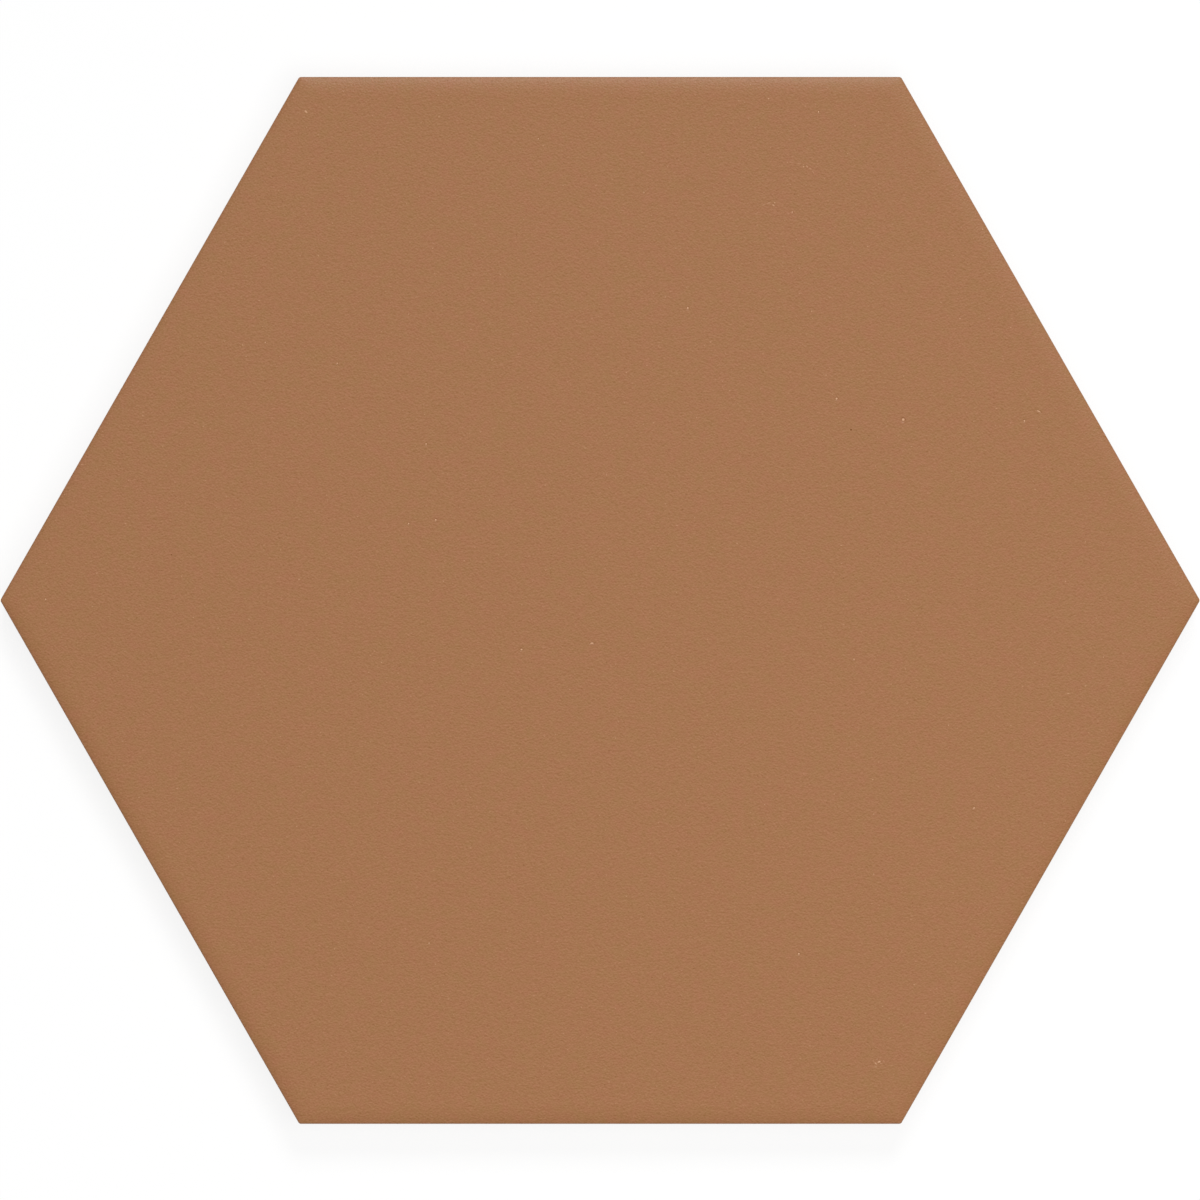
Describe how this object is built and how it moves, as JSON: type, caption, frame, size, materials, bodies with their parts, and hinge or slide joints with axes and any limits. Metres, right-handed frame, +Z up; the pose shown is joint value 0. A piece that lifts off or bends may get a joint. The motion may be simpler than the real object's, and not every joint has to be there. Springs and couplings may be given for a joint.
{
  "type": "hexagon floor tile",
  "caption": "Matt terracotta-coloured ceramic floor tile, hexagonal, with a softly rolled top edge, drafted flanks and a honeycomb keyed back.",
  "frame": {"origin": "middle of the tile on its bed plane, the plane of the back's ribs and rim", "axes": "+Z up through the wearing face; +X from the middle to the right-hand corner; +Y square to the upper straight side"},
  "size_m": [0.1998, 0.1746, 0.0085],
  "materials": {
    "fired_ceramic": "matte"
  },
  "bodies": {
    "root": {"hexagon_tile": "fired_ceramic"}
  },
  "joints": []
}
